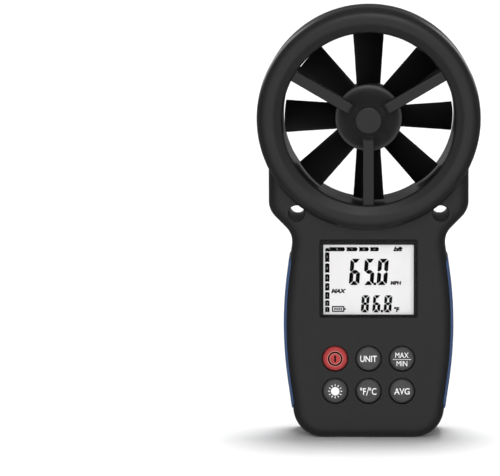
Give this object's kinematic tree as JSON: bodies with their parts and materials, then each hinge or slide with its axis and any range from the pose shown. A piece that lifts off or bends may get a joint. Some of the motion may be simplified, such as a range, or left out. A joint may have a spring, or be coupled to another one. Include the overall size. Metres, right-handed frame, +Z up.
{
  "type": "handheld weather meter",
  "caption": "Handheld vane weather meter: wind wheel in a spoked round head on a waisted handle with display, round keys and soft side grips.",
  "frame": {"origin": "centre of the underside of the box round the meter, on the surface it stands on", "axes": "+Z up along the handle to the wind ring, +Y from the display to the back, +X to the right as seen from the front"},
  "size_m": [0.0844, 0.038, 0.165],
  "materials": {
    "case_black": "black moulded ABS, fine satin texture",
    "rotor_black": "matt black moulded plastic",
    "grip_blue": "soft dark blue grip",
    "key_grey": "soft grey keypad rubber, white legends",
    "key_red": "soft red keypad rubber",
    "clear_window": "clear acrylic window",
    "lcd": "reflective LCD with black segments",
    "white_plastic": "white moulded plastic",
    "silicone": "grey silicone rubber",
    "board_green": "green solder mask",
    "component_black": "black moulded component body",
    "steel": "bright steel",
    "brass": "polished brass",
    "magnet": "dark grey ferrite",
    "battery_shell": "plain dark battery jacket",
    "wire_red": "red wire insulation",
    "wire_black": "black wire insulation"
  },
  "bodies": {
    "meter": {"battery": "battery_shell", "battery_lead_negative": "wire_black", "battery_lead_positive": "wire_red", "battery_snap": "component_black", "battery_tray": "case_black", "contact_strip": "silicone", "display_window": "clear_window", "dome_switch_average": "steel", "dome_switch_backlight": "steel", "dome_switch_max_min": "steel", "dome_switch_power": "steel", "dome_switch_temp_unit": "steel", "dome_switch_unit": "steel", "front_bearing": "brass", "front_case": "case_black", "grip_left": "grip_blue", "grip_right": "grip_blue", "keypad_mat": "silicone", "lcd_backlight": "white_plastic", "lcd_holder": "white_plastic", "lcd_panel": "lcd", "main_board": "board_green", "nose_cap": "case_black", "processor_chip": "component_black", "quartz_crystal": "steel", "rear_bearing": "brass", "rear_case": "case_black", "screw_bottom_left": "steel", "screw_bottom_right": "steel", "screw_ring_left": "steel", "screw_ring_right": "steel", "screw_shoulder_left": "steel", "screw_shoulder_right": "steel", "sensor_lead": "wire_black", "signal_chip": "component_black", "smoothing_capacitor": "component_black", "speed_sensor": "component_black", "temperature_sensor": "brass", "vane_ring_front": "case_black", "vane_ring_rear": "case_black"},
    "rotor": {"impeller": "rotor_black", "rotor_shaft": "steel", "rotor_magnet": "magnet"},
    "battery_door": {"battery_door": "case_black", "door_screw": "steel"},
    "key_power": {"button_power": "key_red"},
    "key_unit": {"button_unit": "key_grey"},
    "key_max_min": {"button_max_min": "key_grey"},
    "key_backlight": {"button_backlight": "key_grey"},
    "key_temp_unit": {"button_temp_unit": "key_grey"},
    "key_average": {"button_average": "key_grey"}
  },
  "joints": [
    {"name": "rotor_spin", "type": "hinge", "parent": "meter", "child": "rotor", "pos_m": [0, 0, 0.1228], "axis": [0, 1, 0], "continuous": true},
    {"name": "battery_door_swing", "type": "hinge", "parent": "meter", "child": "battery_door", "pos_m": [0, 0.0179, 0.0084], "axis": [-1, 0, 0], "range_deg": [0, 90]},
    {"name": "press_power", "type": "slide", "parent": "meter", "child": "key_power", "axis": [0, 1, 0], "range_m": [0, 0.0008], "stiffness_N_per_m": 600},
    {"name": "press_unit", "type": "slide", "parent": "meter", "child": "key_unit", "axis": [0, 1, 0], "range_m": [0, 0.0008], "stiffness_N_per_m": 600},
    {"name": "press_max_min", "type": "slide", "parent": "meter", "child": "key_max_min", "axis": [0, 1, 0], "range_m": [0, 0.0008], "stiffness_N_per_m": 600},
    {"name": "press_backlight", "type": "slide", "parent": "meter", "child": "key_backlight", "axis": [0, 1, 0], "range_m": [0, 0.0008], "stiffness_N_per_m": 600},
    {"name": "press_temp_unit", "type": "slide", "parent": "meter", "child": "key_temp_unit", "axis": [0, 1, 0], "range_m": [0, 0.0008], "stiffness_N_per_m": 600},
    {"name": "press_average", "type": "slide", "parent": "meter", "child": "key_average", "axis": [0, 1, 0], "range_m": [0, 0.0008], "stiffness_N_per_m": 600}
  ]
}
